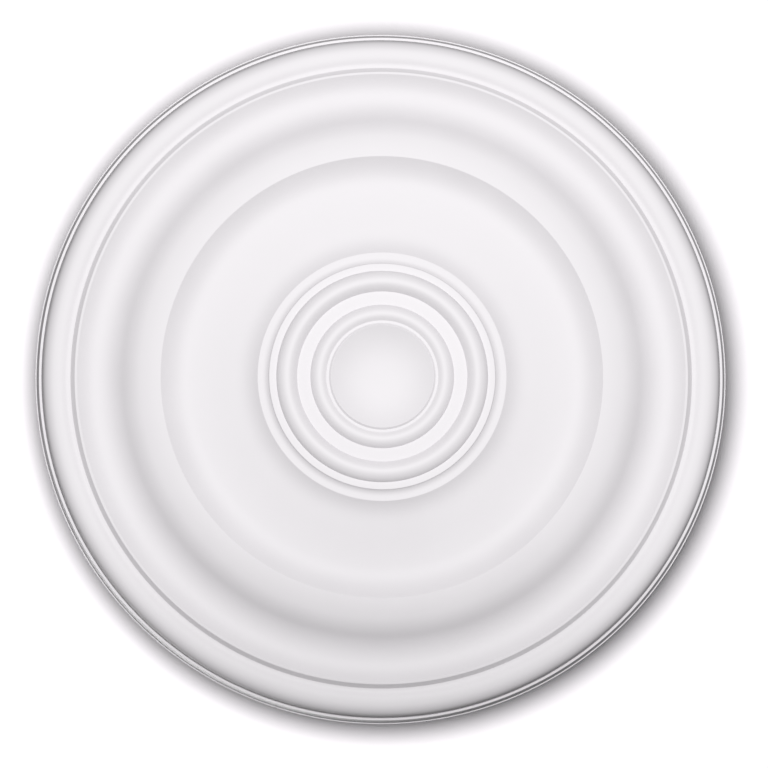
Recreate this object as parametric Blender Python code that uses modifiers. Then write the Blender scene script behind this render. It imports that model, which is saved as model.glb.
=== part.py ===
"""A plain ring-moulded ceiling rose, cast in one piece and primed white.

The flat back lies on the ceiling, in the plane z = 0, and the moulded face looks down, towards -Z.
The rose is a turned form. Its section is drawn with two numbers: the distance from the axis, and
the depth below the ceiling. It starts at the edge of the back and goes inwards, moulding by
moulding, as a running mould would cut it.
"""
import math

import bpy

MM = 0.001

# Outline and facets
outer_diameter = 500.0 * MM
facets = 64

# Rim, from the ceiling inwards
lip_width = 0.8 * MM
lip_depth = 1.5 * MM
rim_riser_run = 1.9 * MM
rim_riser_depth = 4.7 * MM
rim_fillet_width = 1.85 * MM
rim_foot_width = 2.8 * MM
rim_foot_depth = 5.5 * MM
rim_top_width = 6.7 * MM
rim_top_depth = 1.9 * MM

# Border, from the rim roll up to the crest
roll_back_width = 7.4 * MM
roll_back_sink = 1.05 * MM
band_width = 3.5 * MM
band_sink = 0.55 * MM
band_foot_width = 0.7 * MM
band_step_run = 3.0 * MM
band_step_depth = 2.5 * MM
arris_width = 1.6 * MM
hollow_width = 17.3 * MM
hollow_sink = 4.6 * MM
ogee_cove_width = 15.5 * MM
ogee_cove_depth = 3.95 * MM
ogee_round_width = 12.8 * MM
ogee_round_depth = 4.5 * MM
shoulder_width = 14.7 * MM
shoulder_depth = 0.95 * MM

# Field, from the crest to the foot of the boss
crest_fall_width = 22.2 * MM
crest_fall_sink = 6.4 * MM
field_rise_width = 29.0 * MM
field_rise_depth = 1.3 * MM
field_foot_depth = 4.1 * MM

# Boss, from the centre outwards
dish_radius = 37.15 * MM
dish_sink = 5.1 * MM
dish_step_run = 1.4 * MM
dish_step_depth = 0.9 * MM
bead_width = 1.9 * MM
inner_roll_inside = 5.0 * MM
inner_roll_sink = 1.5 * MM
inner_roll_outside = 6.4 * MM
inner_roll_depth = 2.9 * MM
inner_fillet_width = 9.6 * MM
outer_roll_inside = 7.4 * MM
outer_roll_sink = 3.6 * MM
outer_roll_outside = 7.5 * MM
outer_roll_depth = 3.4 * MM
outer_fillet_width = 5.15 * MM
boss_riser_run = 0.6 * MM
boss_riser_depth = 0.7 * MM
cove_width = 4.9 * MM
cove_depth = 1.2 * MM
boss_edge_width = 2.8 * MM


def flat(section, inwards, deeper=0.0):
    """A straight stretch of the section."""
    radius, depth = section[-1]
    section.append((radius - inwards, depth + deeper))


def curve(section, inwards, deeper, start_tilt, end_tilt, cuts):
    """A swept stretch. A tilt is in degrees from the ceiling's plane, positive where the surface
    leaves the ceiling as it goes inwards."""
    radius, depth = section[-1]
    reach = 0.36 * math.hypot(inwards, deeper)
    start, end = math.radians(start_tilt), math.radians(end_tilt)
    corners = [
        (radius, depth),
        (radius - reach * math.cos(start), depth + reach * math.sin(start)),
        (radius - inwards + reach * math.cos(end), depth + deeper - reach * math.sin(end)),
        (radius - inwards, depth + deeper),
    ]
    for cut in range(1, cuts + 1):
        t = cut / cuts
        weights = ((1 - t) ** 3, 3 * t * (1 - t) ** 2, 3 * t * t * (1 - t), t ** 3)
        section.append(tuple(sum(w * c[i] for w, c in zip(weights, corners)) for i in (0, 1)))


def rim(section):
    """A thin lip on the ceiling, a narrow fillet, and the roll, steep at its foot and flat on top."""
    flat(section, 0.0, lip_depth)
    flat(section, lip_width)
    flat(section, rim_riser_run, rim_riser_depth)
    flat(section, rim_fillet_width)
    curve(section, rim_foot_width, rim_foot_depth, 75, 38, 3)
    curve(section, rim_top_width, rim_top_depth, 38, 0, 4)


def border(section):
    """The roll's back falls to a plain band, a small step rises to a narrow arris, and after a
    shallow hollow the ogee goes up to the crest."""
    curve(section, roll_back_width, -roll_back_sink, 0, -18, 2)
    curve(section, band_width, -band_sink, -18, 0, 2)
    flat(section, band_foot_width)
    flat(section, band_step_run, band_step_depth)
    flat(section, arris_width)
    curve(section, hollow_width, -hollow_sink, -29, 0, 4)
    curve(section, ogee_cove_width, ogee_cove_depth, 0, 32, 5)
    curve(section, ogee_round_width, ogee_round_depth, 32, 7, 4)
    curve(section, shoulder_width, shoulder_depth, 7, 1, 2)


def field(section):
    """The wide hollow between the crest and the boss, deepest nearer the crest."""
    curve(section, crest_fall_width, -crest_fall_sink, -32, 0, 5)
    curve(section, field_rise_width, field_rise_depth, 0, 4, 3)
    curve(section, section[-1][0] - boss_radius(), field_foot_depth, 4, 29, 4)


def boss(section):
    """Edge, cove, two rolls with fillets beside them, and the dish in the middle."""
    flat(section, boss_edge_width)
    curve(section, cove_width, cove_depth, 0, 36, 3)
    flat(section, boss_riser_run, boss_riser_depth)
    flat(section, outer_fillet_width)
    curve(section, outer_roll_outside, outer_roll_depth, 57, 0, 5)
    curve(section, outer_roll_inside, -outer_roll_sink, 0, -46, 4)
    flat(section, inner_fillet_width)
    curve(section, inner_roll_outside, inner_roll_depth, 53, 0, 4)
    curve(section, inner_roll_inside, -inner_roll_sink, 0, -30, 3)
    flat(section, bead_width)
    flat(section, dish_step_run, dish_step_depth)
    curve(section, dish_radius, -dish_sink, -18, 0, 5)


def boss_radius():
    """The boss's members added up, from the centre outwards."""
    dish = dish_radius + dish_step_run + bead_width
    rolls = inner_roll_inside + inner_roll_outside + inner_fillet_width
    rolls += outer_roll_inside + outer_roll_outside + outer_fillet_width
    return dish + rolls + boss_riser_run + cove_width + boss_edge_width


def rose_section():
    """The whole section, from the middle of the back round to the middle of the face."""
    section = [(0.0, 0.0), (outer_diameter / 2, 0.0)]
    rim(section)
    border(section)
    field(section)
    boss(section)
    section[-1] = (0.0, section[-1][1])
    return section


def white_primer():
    """The factory primer: an even, slightly cool white with a low sheen."""
    material = bpy.data.materials.new("white_primer")
    material.use_nodes = True
    shader = material.node_tree.nodes["Principled BSDF"]
    shader.inputs["Base Color"].default_value = (0.86, 0.85, 0.86, 1.0)
    shader.inputs["Roughness"].default_value = 0.62
    shader.inputs["Metallic"].default_value = 0.0
    return material


def turned(name, section, collection):
    """Turn a section about the Z axis into a closed solid."""
    points = [(radius, 0.0, -depth) for radius, depth in section]
    edges = [(i, i + 1) for i in range(len(points) - 1)]
    mesh = bpy.data.meshes.new(name)
    mesh.from_pydata(points, edges, [])
    solid = bpy.data.objects.new(name, mesh)
    collection.objects.link(solid)
    screw = solid.modifiers.new("Turn", "SCREW")
    screw.axis = "Z"
    screw.angle = math.tau
    screw.steps = facets
    screw.render_steps = facets
    screw.use_merge_vertices = True
    screw.merge_threshold = 0.00001
    bpy.context.view_layer.objects.active = solid
    bpy.ops.object.modifier_apply(modifier=screw.name)
    solid.data.shade_smooth()
    solid.data.set_sharp_from_angle(angle=math.radians(25))
    return solid


for old in list(bpy.data.objects):
    bpy.data.objects.remove(old)

rose_parts = bpy.data.collections.new("Ceiling rose")
bpy.context.scene.collection.children.link(rose_parts)
rose = turned("ceiling_rose", rose_section(), rose_parts)
rose.data.materials.append(white_primer())
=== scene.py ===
import math

import bpy
from mathutils import Matrix, Vector


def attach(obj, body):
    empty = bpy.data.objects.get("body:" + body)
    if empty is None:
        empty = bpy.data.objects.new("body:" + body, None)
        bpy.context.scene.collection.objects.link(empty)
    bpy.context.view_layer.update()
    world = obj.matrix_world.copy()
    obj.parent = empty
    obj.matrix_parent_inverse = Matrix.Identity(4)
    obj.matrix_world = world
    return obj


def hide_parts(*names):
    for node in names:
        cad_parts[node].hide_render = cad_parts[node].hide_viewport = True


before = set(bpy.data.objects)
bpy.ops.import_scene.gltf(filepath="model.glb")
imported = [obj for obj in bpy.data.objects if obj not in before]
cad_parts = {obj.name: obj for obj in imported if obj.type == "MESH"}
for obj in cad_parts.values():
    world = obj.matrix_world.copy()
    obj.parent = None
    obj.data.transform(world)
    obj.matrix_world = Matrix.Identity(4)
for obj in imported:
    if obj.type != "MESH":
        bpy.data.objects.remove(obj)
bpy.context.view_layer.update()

# Camera
# The photo looks up at the rose from below, almost along its axis: the face leans about four degrees
# to the picture's upper right. Picture up is +Y and picture right is -X. A long lens stands well back.
camera_distance = 3.4
face_depth = 0.03
lean_angle = math.radians(4.1)
lean_way = math.radians(61.0)
picture_pixels = 768.0
rose_pixels = 690.3
rose_width = 0.5
aim_right = 1.25 * rose_width / rose_pixels
aim_up = -8.45 * rose_width / rose_pixels

lean = Vector((-math.cos(lean_way), math.sin(lean_way), 0.0))
stand_back = Vector((0.0, 0.0, -1.0)) * math.cos(lean_angle) - lean * math.sin(lean_angle)
camera_place = Vector((0.0, 0.0, -face_depth)) + stand_back * camera_distance
look = (Vector((-aim_right, aim_up, -face_depth)) - camera_place).normalized()
picture_right = look.cross(Vector((0.0, 1.0, 0.0))).normalized()
picture_up = picture_right.cross(look).normalized()
bpy.ops.object.select_all(action="DESELECT")
bpy.ops.object.camera_add(location=camera_place)
camera = bpy.context.object
camera.name = "viewpoint"
turn = Matrix((picture_right, picture_up, -look)).transposed().to_4x4()
camera.matrix_world = Matrix.Translation(camera_place) @ turn
camera.data.sensor_width = 36.0
camera.data.lens = 36.0 * (camera_distance + face_depth) * rose_pixels / (rose_width * picture_pixels)
camera.data.clip_end = 5000.0
bpy.context.scene.camera = camera

# Rose
# One casting in stiff moulding foam, primed white at the factory and glued and screwed to a ceiling.
# Its master was turned, so the section is drawn here from the middle of the back round to the middle
# of the face, one moulding after another, and spun about the axis.
MM = 0.001
rose_radius = 250.0 * MM
arris_easing = 0.15 * MM
turning_steps = 256

lip_width, lip_depth = 0.8 * MM, 1.5 * MM
rim_riser_run, rim_riser_depth = 1.9 * MM, 4.7 * MM
rim_fillet_width = 1.85 * MM
rim_foot_width, rim_foot_depth = 2.8 * MM, 5.5 * MM
rim_top_width, rim_top_depth = 6.7 * MM, 1.9 * MM
roll_back_width, roll_back_sink = 7.4 * MM, 1.05 * MM
band_width, band_sink = 3.5 * MM, 0.55 * MM
band_foot_width = 0.7 * MM
band_step_run, band_step_depth = 3.0 * MM, 2.5 * MM
arris_width = 1.6 * MM
hollow_width, hollow_sink = 17.3 * MM, 4.6 * MM
ogee_cove_width, ogee_cove_depth = 15.5 * MM, 3.95 * MM
ogee_round_width, ogee_round_depth = 12.8 * MM, 4.5 * MM
shoulder_width, shoulder_depth = 14.7 * MM, 0.95 * MM
crest_fall_width, crest_fall_sink = 22.2 * MM, 6.4 * MM
field_rise_width, field_rise_depth = 29.0 * MM, 1.3 * MM
field_foot_width, field_foot_depth = 18.55 * MM, 4.1 * MM
boss_edge_width = 2.8 * MM
cove_width, cove_depth = 4.9 * MM, 1.2 * MM
boss_riser_run, boss_riser_depth = 0.6 * MM, 0.7 * MM
outer_fillet_width = 5.15 * MM
outer_roll_outside, outer_roll_depth = 7.5 * MM, 3.4 * MM
outer_roll_inside, outer_roll_sink = 7.4 * MM, 3.6 * MM
inner_fillet_width = 9.6 * MM
inner_roll_outside, inner_roll_depth = 6.4 * MM, 2.9 * MM
inner_roll_inside, inner_roll_sink = 5.0 * MM, 1.5 * MM
bead_width = 1.9 * MM
dish_step_run, dish_step_depth = 1.4 * MM, 0.9 * MM
dish_sink = 5.1 * MM

bpy.ops.object.select_all(action="DESELECT")
bpy.ops.mesh.primitive_plane_add(size=1.0 * MM, location=(0.0, 0.0, 0.0))
rose = bpy.context.object
rose.name = "ring_moulded_rose"
bpy.ops.object.mode_set(mode="EDIT")
bpy.ops.mesh.select_all(action="SELECT")
bpy.ops.mesh.merge(type="CENTER")
drawn = 0.0


def straight(inwards, deeper=0.0):
    """Draw the section on by one straight stretch, towards the axis and down from the ceiling."""
    global drawn
    bpy.ops.mesh.extrude_region_move(TRANSFORM_OT_translate={"value": (-inwards, 0.0, -deeper)})
    drawn += inwards


def sweep(inwards, deeper, start_tilt, end_tilt, cuts):
    """Draw the section on by one curve. Its tilts are in degrees from the ceiling's plane."""
    reach = 0.36 * math.hypot(inwards, deeper)
    start, end = math.radians(start_tilt), math.radians(end_tilt)
    first = (reach * math.cos(start), reach * math.sin(start))
    second = (inwards - reach * math.cos(end), deeper - reach * math.sin(end))
    done = (0.0, 0.0)
    for cut in range(1, cuts + 1):
        t = cut / cuts
        across = 3 * t * (1 - t) ** 2 * first[0] + 3 * t * t * (1 - t) * second[0] + t ** 3 * inwards
        down = 3 * t * (1 - t) ** 2 * first[1] + 3 * t * t * (1 - t) * second[1] + t ** 3 * deeper
        straight(across - done[0], down - done[1])
        done = (across, down)


# back and lip
straight(-rose_radius)
straight(0.0, lip_depth)
straight(lip_width)
# rim fillet and roll
straight(rim_riser_run, rim_riser_depth)
straight(rim_fillet_width)
sweep(rim_foot_width, rim_foot_depth, 75, 38, 8)
sweep(rim_top_width, rim_top_depth, 38, 0, 10)
# band, and the step to the arris
sweep(roll_back_width, -roll_back_sink, 0, -18, 6)
sweep(band_width, -band_sink, -18, 0, 6)
straight(band_foot_width)
straight(band_step_run, band_step_depth)
straight(arris_width)
# hollow, ogee and shoulder
sweep(hollow_width, -hollow_sink, -29, 0, 10)
sweep(ogee_cove_width, ogee_cove_depth, 0, 32, 12)
sweep(ogee_round_width, ogee_round_depth, 32, 7, 10)
sweep(shoulder_width, shoulder_depth, 7, 1, 8)
# crest, and the wide field
sweep(crest_fall_width, -crest_fall_sink, -32, 0, 12)
sweep(field_rise_width, field_rise_depth, 0, 4, 10)
sweep(field_foot_width, field_foot_depth, 4, 29, 10)
# edge, cove and riser of the boss
straight(boss_edge_width)
sweep(cove_width, cove_depth, 0, 36, 8)
straight(boss_riser_run, boss_riser_depth)
straight(outer_fillet_width)
# outer roll
sweep(outer_roll_outside, outer_roll_depth, 57, 0, 10)
sweep(outer_roll_inside, -outer_roll_sink, 0, -46, 10)
straight(inner_fillet_width)
# inner roll and bead
sweep(inner_roll_outside, inner_roll_depth, 53, 0, 9)
sweep(inner_roll_inside, -inner_roll_sink, 0, -30, 7)
straight(bead_width)
straight(dish_step_run, dish_step_depth)
# dish
sweep(-drawn, -dish_sink, -18, 0, 20)

bpy.ops.mesh.select_all(action="SELECT")
bpy.ops.mesh.spin(steps=turning_steps, angle=math.tau, center=(0.0, 0.0, 0.0), axis=(0.0, 0.0, 1.0))
bpy.ops.mesh.select_all(action="SELECT")
bpy.ops.mesh.remove_doubles(threshold=0.01 * MM)
bpy.ops.mesh.normals_make_consistent(inside=False)
bpy.ops.mesh.select_all(action="DESELECT")
bpy.ops.object.mode_set(mode="OBJECT")

bpy.ops.object.shade_smooth_by_angle(angle=math.radians(30.0))
bpy.ops.object.modifier_add(type="BEVEL")
easing = rose.modifiers[-1]
easing.width = arris_easing
easing.segments = 2
easing.limit_method = "ANGLE"
easing.angle_limit = math.radians(15.0)
easing.harden_normals = True
bpy.ops.object.modifier_apply(modifier=easing.name)


def add_node(tree, kind, settings=None, values=None):
    """Add one node, with its settings and the values of its inputs."""
    node = tree.nodes.new(kind)
    for name, value in (settings or {}).items():
        setattr(node, name, value)
    for name, value in (values or {}).items():
        node.inputs[name].default_value = value
    return node


primer = bpy.data.materials.new("white_primer_coat")
primer.use_nodes = True
coat = primer.node_tree
shader = coat.nodes["Principled BSDF"]
shader.inputs["Specular IOR Level"].default_value = 0.5
place = add_node(coat, "ShaderNodeTexCoord").outputs["Object"]

# colour: two near whites in soft clouds
clouds = add_node(coat, "ShaderNodeTexNoise", values={"Scale": 22.0, "Detail": 4.0, "Roughness": 0.55})
coat.links.new(place, clouds.inputs["Vector"])
cloud_range = add_node(coat, "ShaderNodeMapRange", values={"From Min": 0.35, "From Max": 0.65})
coat.links.new(clouds.outputs["Fac"], cloud_range.inputs["Value"])
tint = add_node(coat, "ShaderNodeMix", {"data_type": "RGBA"})
tint.inputs["A"].default_value = (0.796, 0.772, 0.796, 1.0)
tint.inputs["B"].default_value = (0.811, 0.787, 0.811, 1.0)
coat.links.new(cloud_range.outputs["Result"], tint.inputs["Factor"])

# sheen: the primer is a little glossier where it lies thicker
coat_range = add_node(coat, "ShaderNodeMapRange", values={"To Min": 0.47, "To Max": 0.53})
coat.links.new(clouds.outputs["Fac"], coat_range.inputs["Value"])

# surface: fine foam grain under the coat
grain = add_node(coat, "ShaderNodeTexNoise", values={"Scale": 900.0, "Detail": 3.0, "Roughness": 0.6})
coat.links.new(place, grain.inputs["Vector"])
bump = add_node(coat, "ShaderNodeBump", values={"Strength": 0.5, "Distance": 0.02 * MM})
coat.links.new(grain.outputs["Fac"], bump.inputs["Height"])

# back: sanded flat before it was primed, so it is a little duller, with faint straight marks
split = add_node(coat, "ShaderNodeSeparateXYZ")
coat.links.new(place, split.inputs["Vector"])
on_back = add_node(coat, "ShaderNodeMapRange", values={"From Min": -0.3 * MM, "From Max": -0.1 * MM})
coat.links.new(split.outputs["Z"], on_back.inputs["Value"])
marks_way = {"Rotation": (0.0, 0.0, 0.35), "Scale": (5.0, 240.0, 1.0)}
stretch = add_node(coat, "ShaderNodeMapping", values=marks_way)
coat.links.new(place, stretch.inputs["Vector"])
marks = add_node(coat, "ShaderNodeTexNoise", values={"Scale": 1.0, "Detail": 4.0, "Roughness": 0.6})
coat.links.new(stretch.outputs["Vector"], marks.inputs["Vector"])
back_range = add_node(coat, "ShaderNodeMapRange", values={"From Min": 0.3, "From Max": 0.7})
coat.links.new(marks.outputs["Fac"], back_range.inputs["Value"])
back_tint = add_node(coat, "ShaderNodeMix", {"data_type": "RGBA"})
back_tint.inputs["A"].default_value = (0.760, 0.738, 0.756, 1.0)
back_tint.inputs["B"].default_value = (0.785, 0.763, 0.781, 1.0)
coat.links.new(back_range.outputs["Result"], back_tint.inputs["Factor"])
colour = add_node(coat, "ShaderNodeMix", {"data_type": "RGBA"})
coat.links.new(on_back.outputs["Result"], colour.inputs["Factor"])
coat.links.new(tint.outputs["Result"], colour.inputs["A"])
coat.links.new(back_tint.outputs["Result"], colour.inputs["B"])
coat.links.new(colour.outputs["Result"], shader.inputs["Base Color"])
dullness = add_node(coat, "ShaderNodeMix", {"data_type": "FLOAT"}, {"B": 0.66})
coat.links.new(on_back.outputs["Result"], dullness.inputs["Factor"])
coat.links.new(coat_range.outputs["Result"], dullness.inputs["A"])
coat.links.new(dullness.outputs["Result"], shader.inputs["Roughness"])
mark_depth = add_node(coat, "ShaderNodeMath", {"operation": "MULTIPLY"})
coat.links.new(marks.outputs["Fac"], mark_depth.inputs[0])
coat.links.new(on_back.outputs["Result"], mark_depth.inputs[1])
sanding = add_node(coat, "ShaderNodeBump", values={"Strength": 0.5, "Distance": 0.06 * MM})
coat.links.new(mark_depth.outputs["Value"], sanding.inputs["Height"])
coat.links.new(bump.outputs["Normal"], sanding.inputs["Normal"])
coat.links.new(sanding.outputs["Normal"], shader.inputs["Normal"])

rose.data.materials.append(primer)
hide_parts("ceiling_rose")
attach(rose, "root")

# Board behind the rose
# Plain white stage board that takes the rose's soft shadow, seen from below only. A black sheet just
# under it, which the camera doesn't see, keeps off it the light that the rose's back reflects.
board_gap = 52.0 * MM
sheet_gap = 0.5 * MM
board_size = 6.0
board_glow = 0.04


def one_sided(name, colour, glow=0.0):
    """A plain matt surface that is clear when it is looked at from behind. A glow lifts its shadows."""
    surface = bpy.data.materials.new(name)
    surface.use_nodes = True
    tree = surface.node_tree
    paint = tree.nodes["Principled BSDF"]
    paint.inputs["Base Color"].default_value = colour
    paint.inputs["Roughness"].default_value = 0.9
    paint.inputs["Specular IOR Level"].default_value = 0.0
    paint.inputs["Emission Color"].default_value = colour
    paint.inputs["Emission Strength"].default_value = glow
    choice = add_node(tree, "ShaderNodeMixShader")
    clear = add_node(tree, "ShaderNodeBsdfTransparent")
    side = add_node(tree, "ShaderNodeNewGeometry")
    tree.links.new(side.outputs["Backfacing"], choice.inputs[0])
    tree.links.new(paint.outputs["BSDF"], choice.inputs[1])
    tree.links.new(clear.outputs["BSDF"], choice.inputs[2])
    tree.links.new(choice.outputs["Shader"], tree.nodes["Material Output"].inputs["Surface"])
    return surface


bpy.ops.object.select_all(action="DESELECT")
bpy.ops.mesh.primitive_plane_add(size=board_size, location=(0.0, 0.0, board_gap))
board = bpy.context.object
board.name = "white_board"
bpy.ops.object.mode_set(mode="EDIT")
bpy.ops.mesh.select_all(action="SELECT")
bpy.ops.mesh.flip_normals()
bpy.ops.object.mode_set(mode="OBJECT")
bpy.ops.object.transform_apply(location=True, rotation=True, scale=True)
board.visible_diffuse = False
board.visible_glossy = False
board.visible_shadow = False
board.data.materials.append(one_sided("board_white", (0.96, 0.93, 0.96, 1.0), board_glow))

bpy.ops.object.select_all(action="DESELECT")
bpy.ops.mesh.primitive_plane_add(size=board_size, location=(0.0, 0.0, board_gap - sheet_gap))
sheet = bpy.context.object
sheet.name = "black_sheet"
bpy.ops.object.transform_apply(location=True, rotation=True, scale=True)
sheet.visible_camera = False
sheet.visible_glossy = False
sheet.visible_transmission = False
sheet.visible_shadow = False
sheet.data.materials.append(one_sided("sheet_black", (0.0, 0.0, 0.0, 1.0)))

# Floor
# Plain pale floor, far below the rose and the camera. It sends no light back up at the rose, and its
# tone and the air's are alike, so that no horizon shows.
floor_size = 3000.0
floor_drop = 5.5

bpy.ops.object.select_all(action="DESELECT")
bpy.ops.mesh.primitive_plane_add(size=floor_size, location=(0.0, 0.0, -floor_drop))
floor = bpy.context.object
floor.name = "pale_floor"
bpy.ops.object.transform_apply(location=True, rotation=True, scale=True)
floor.visible_diffuse = False
floor.visible_glossy = False
floor_pale = bpy.data.materials.new("floor_pale")
floor_pale.use_nodes = True
ground = floor_pale.node_tree.nodes["Principled BSDF"]
ground.inputs["Base Color"].default_value = (0.55, 0.55, 0.55, 1.0)
ground.inputs["Roughness"].default_value = 0.9
ground.inputs["Specular IOR Level"].default_value = 0.1
floor.data.materials.append(floor_pale)

# Light
# One round softbox, just above the picture's middle, lights only the rose, and a black flag shades the
# lower edge from it. Another, from the picture's left, lights only the board. A soft overhead light is
# for the back, and a little light comes from all round.
flag_drop = 0.8
flag_edge = -0.1375
flag_size = 2.0
air_light = 0.07
air_tone = 0.55


def softbox(name, zenith, way, distance, width, watts):
    """A round soft light below the rose. Its way is the direction in the picture that it comes from."""
    zenith, way = math.radians(zenith), math.radians(way)
    towards = Vector((-math.cos(way) * math.sin(zenith), math.sin(way) * math.sin(zenith), -math.cos(zenith)))
    bpy.ops.object.select_all(action="DESELECT")
    bpy.ops.object.light_add(type="AREA", location=towards * distance)
    lamp = bpy.context.object
    lamp.name = name
    lamp.rotation_euler = towards.to_track_quat("Z", "Y").to_euler()
    lamp.data.shape = "DISK"
    lamp.data.size = width
    lamp.data.energy = watts
    lamp.visible_camera = False
    return lamp


face_light = softbox("face_light", 8.1, 81.0, 1.6, 0.86, 25.0)
board_light = softbox("board_light", 4.45, 186.0, 1.45, 0.73, 29.6)

lit_by_face_light = bpy.data.collections.new("lit_by_face_light")
lit_by_face_light.objects.link(rose)
face_light.light_linking.receiver_collection = lit_by_face_light
lit_by_board_light = bpy.data.collections.new("lit_by_board_light")
lit_by_board_light.objects.link(board)
board_light.light_linking.receiver_collection = lit_by_board_light
board_light.light_linking.blocker_collection = lit_by_face_light

# flag: it shades part of the face light from the picture's lower edge, and isn't seen itself
bpy.ops.object.select_all(action="DESELECT")
bpy.ops.mesh.primitive_plane_add(size=flag_size, location=(0.0, flag_edge - flag_size / 2, -flag_drop))
flag = bpy.context.object
flag.name = "light_flag"
bpy.ops.object.transform_apply(location=True, rotation=True, scale=True)
flag.visible_camera = False
flag.visible_diffuse = False
flag.visible_glossy = False
flag.visible_transmission = False
cloth = bpy.data.materials.new("flag_black")
cloth.use_nodes = True
cloth.node_tree.nodes["Principled BSDF"].inputs["Base Color"].default_value = (0.0, 0.0, 0.0, 1.0)
flag.data.materials.append(cloth)

bpy.ops.object.select_all(action="DESELECT")
overhead_turn = (math.radians(25.0), math.radians(20.0), 0.0)
bpy.ops.object.light_add(type="SUN", location=(0.0, 0.0, 3.0), rotation=overhead_turn)
overhead = bpy.context.object
overhead.name = "overhead_light"
overhead.data.energy = 3.4
overhead.data.angle = math.radians(40.0)

room = bpy.data.worlds.new("studio_air")
bpy.context.scene.world = room
room.use_nodes = True
air = room.node_tree
fill = air.nodes["Background"]
fill.inputs["Color"].default_value = (1.0, 1.0, 1.0, 1.0)
fill.inputs["Strength"].default_value = air_light
seen = add_node(air, "ShaderNodeBackground", values={"Color": (air_tone, air_tone, air_tone, 1.0)})
ray = add_node(air, "ShaderNodeLightPath")
pick = add_node(air, "ShaderNodeMixShader")
air.links.new(ray.outputs["Is Camera Ray"], pick.inputs[0])
air.links.new(fill.outputs["Background"], pick.inputs[1])
air.links.new(seen.outputs["Background"], pick.inputs[2])
air.links.new(pick.outputs["Shader"], air.nodes["World Output"].inputs["Surface"])
bpy.context.scene.view_settings.view_transform = "Standard"
